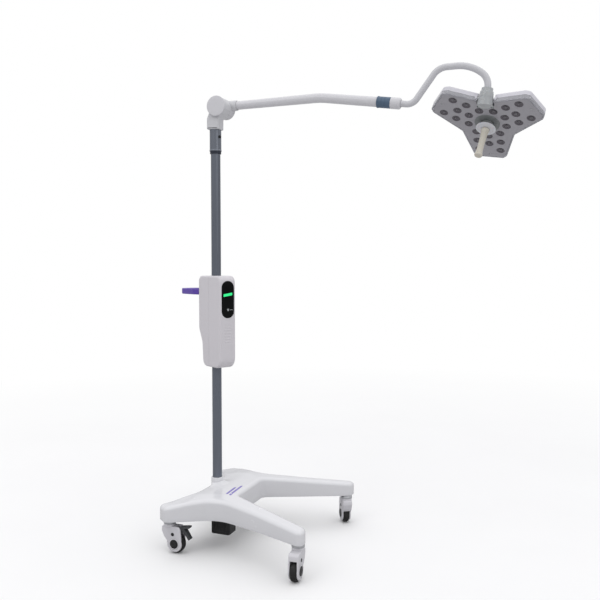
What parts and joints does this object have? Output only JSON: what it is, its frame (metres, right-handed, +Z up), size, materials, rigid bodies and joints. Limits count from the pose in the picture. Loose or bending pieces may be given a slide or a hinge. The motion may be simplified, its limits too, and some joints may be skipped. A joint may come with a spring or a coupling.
{
  "type": "mobile surgical light",
  "caption": "Mobile surgical light: three-lobed LED head on a gooseneck and arm, on a pole with battery box and a four-legged caster base.",
  "frame": {"origin": "on the floor, under the middle of the overall box", "axes": "+Z up, the tallest way; +X along the arm and the long front legs; +Y to the left of the arm, the narrowest way"},
  "size_m": [1.452, 0.6818, 1.8053],
  "materials": {
    "white_plastic": "gloss",
    "grey_white_plastic": "satin",
    "white_paint": "gloss",
    "ring_blue_grey": "satin",
    "frame_steel": "satin",
    "bearing_steel": "satin",
    "pole_paint": "satin",
    "sleeve_paint": "satin",
    "black_plastic": "matte",
    "box_plastic": "satin",
    "display_glass": "gloss",
    "display_green": "gloss",
    "button_plastic": "satin",
    "battery_wrap": "matte",
    "board_green": "matte",
    "purple_plastic": "satin",
    "collar_plastic": "gloss",
    "cover_plastic": "gloss",
    "rim_clear": "gloss",
    "panel_grey": "gloss",
    "sink_aluminium": "satin",
    "flange_plastic": "gloss",
    "grip_ivory": "satin",
    "tyre_rubber": "matte",
    "caster_plastic": "satin",
    "wheel_core": "matte",
    "pedal_plastic": "matte",
    "screw_steel": "gloss"
  },
  "bodies": {
    "stand": {"base_cover": "white_plastic", "base_frame": "frame_steel", "pole_bolt": "bearing_steel", "pole_tube": "pole_paint", "pole_collar": "white_plastic", "power_box": "black_plastic", "coupler_sleeve": "sleeve_paint", "sleeve_screw": "black_plastic", "box_front_shell": "box_plastic", "box_rear_shell": "box_plastic", "display_window": "display_glass", "display_bar": "display_green", "battery_pack": "battery_wrap", "control_board": "board_green", "push_handle": "purple_plastic", "front_left_stem": "bearing_steel", "front_right_stem": "bearing_steel", "rear_left_stem": "bearing_steel", "rear_right_stem": "bearing_steel"},
    "button": {"power_button": "button_plastic"},
    "neck": {"neck_yoke": "grey_white_plastic", "neck_spigot": "bearing_steel", "hub_cap": "white_plastic", "hub_axle": "black_plastic"},
    "arm": {"arm_hub": "grey_white_plastic", "arm_tube": "white_paint", "arm_ring": "ring_blue_grey"},
    "gooseneck": {"end_sleeve": "white_plastic", "roll_spindle": "bearing_steel", "gooseneck_tube": "white_paint"},
    "swivel": {"joint_collar": "collar_plastic"},
    "head": {"tilt_pin": "bearing_steel", "head_rear_cover": "cover_plastic", "head_rim": "rim_clear", "led_panel": "panel_grey", "led_board": "board_green", "heat_sink": "sink_aluminium", "handle_flange": "flange_plastic", "handle_grip": "grip_ivory", "panel_screw_1": "screw_steel", "panel_screw_2": "screw_steel", "panel_screw_3": "screw_steel"},
    "front_left_swivel_body": {"front_left_fork": "caster_plastic", "front_left_axle": "black_plastic"},
    "front_left_wheel_body": {"front_left_wheel_hub": "wheel_core", "front_left_tyre": "tyre_rubber"},
    "front_right_swivel_body": {"front_right_fork": "caster_plastic", "front_right_axle": "black_plastic"},
    "front_right_wheel_body": {"front_right_wheel_hub": "wheel_core", "front_right_tyre": "tyre_rubber"},
    "rear_left_swivel_body": {"rear_left_fork": "caster_plastic", "rear_left_axle": "black_plastic"},
    "rear_left_wheel_body": {"rear_left_wheel_hub": "wheel_core", "rear_left_tyre": "tyre_rubber"},
    "rear_left_brake_body": {"rear_left_pedal": "pedal_plastic"},
    "rear_right_swivel_body": {"rear_right_fork": "caster_plastic", "rear_right_axle": "black_plastic"},
    "rear_right_wheel_body": {"rear_right_wheel_hub": "wheel_core", "rear_right_tyre": "tyre_rubber"},
    "rear_right_brake_body": {"rear_right_pedal": "pedal_plastic"}
  },
  "joints": [
    {"name": "neck_turn", "type": "hinge", "parent": "stand", "child": "neck", "pos_m": [-0.51483, 0.00328, 1.6], "axis": [0, 0, 1], "range_deg": [-160, 160]},
    {"name": "arm_lift", "type": "hinge", "parent": "neck", "child": "arm", "pos_m": [-0.49283, 0.04328, 1.7135], "axis": [0, -1, 0], "range_deg": [-25, 35]},
    {"name": "gooseneck_roll", "type": "hinge", "parent": "arm", "child": "gooseneck", "pos_m": [0.13917, 0.04328, 1.69132], "axis": [0.9882, 0, -0.153], "range_deg": [-100, 100]},
    {"name": "head_swivel", "type": "hinge", "parent": "gooseneck", "child": "swivel", "pos_m": [0.52872, 0.04328, 1.67002], "axis": [0.1513, 0, 0.9885], "range_deg": [-110, 70]},
    {"name": "head_tilt", "type": "hinge", "parent": "swivel", "child": "head", "pos_m": [0.52872, 0.04328, 1.67002], "axis": [-0.9874, 0.0471, 0.1511], "range_deg": [-8, 38]},
    {"name": "power_button_press", "type": "slide", "parent": "stand", "child": "button", "axis": [-0.8526, 0.5225, 0], "range_m": [0, 0.0008], "stiffness_N_per_m": 200},
    {"name": "front_left_swivel", "type": "hinge", "parent": "stand", "child": "front_left_swivel_body", "pos_m": [-0.05123, 0.28128, 0.11], "axis": [0, 0, 1], "continuous": true},
    {"name": "front_left_roll", "type": "hinge", "parent": "front_left_swivel_body", "child": "front_left_wheel_body", "pos_m": [-0.06565, 0.30528, 0.0375], "axis": [-0.8572, -0.515, 0], "continuous": true},
    {"name": "front_right_swivel", "type": "hinge", "parent": "stand", "child": "front_right_swivel_body", "pos_m": [-0.05123, -0.27472, 0.11], "axis": [0, 0, 1], "continuous": true},
    {"name": "front_right_roll", "type": "hinge", "parent": "front_right_swivel_body", "child": "front_right_wheel_body", "pos_m": [-0.04952, -0.30267, 0.0375], "axis": [0.9981, 0.061, 0], "continuous": true},
    {"name": "rear_left_swivel", "type": "hinge", "parent": "stand", "child": "rear_left_swivel_body", "pos_m": [-0.59013, 0.24468, 0.11], "axis": [0, 0, 1], "continuous": true},
    {"name": "rear_left_roll", "type": "hinge", "parent": "rear_left_swivel_body", "child": "rear_left_wheel_body", "pos_m": [-0.5714, 0.26549, 0.0375], "axis": [-0.7431, 0.6691, 0], "continuous": true},
    {"name": "rear_left_brake", "type": "hinge", "parent": "rear_left_swivel_body", "child": "rear_left_brake_body", "pos_m": [-0.56471, 0.27292, 0.086], "axis": [-0.7431, 0.6691, 0], "range_deg": [-4, 8]},
    {"name": "rear_right_swivel", "type": "hinge", "parent": "stand", "child": "rear_right_swivel_body", "pos_m": [-0.59013, -0.23812, 0.11], "axis": [0, 0, 1], "continuous": true},
    {"name": "rear_right_roll", "type": "hinge", "parent": "rear_right_swivel_body", "child": "rear_right_wheel_body", "pos_m": [-0.56213, -0.23812, 0.0375], "axis": [0, 1, 0], "continuous": true},
    {"name": "rear_right_brake", "type": "hinge", "parent": "rear_right_swivel_body", "child": "rear_right_brake_body", "pos_m": [-0.55213, -0.23812, 0.086], "axis": [0, 1, 0], "range_deg": [-4, 8]}
  ]
}
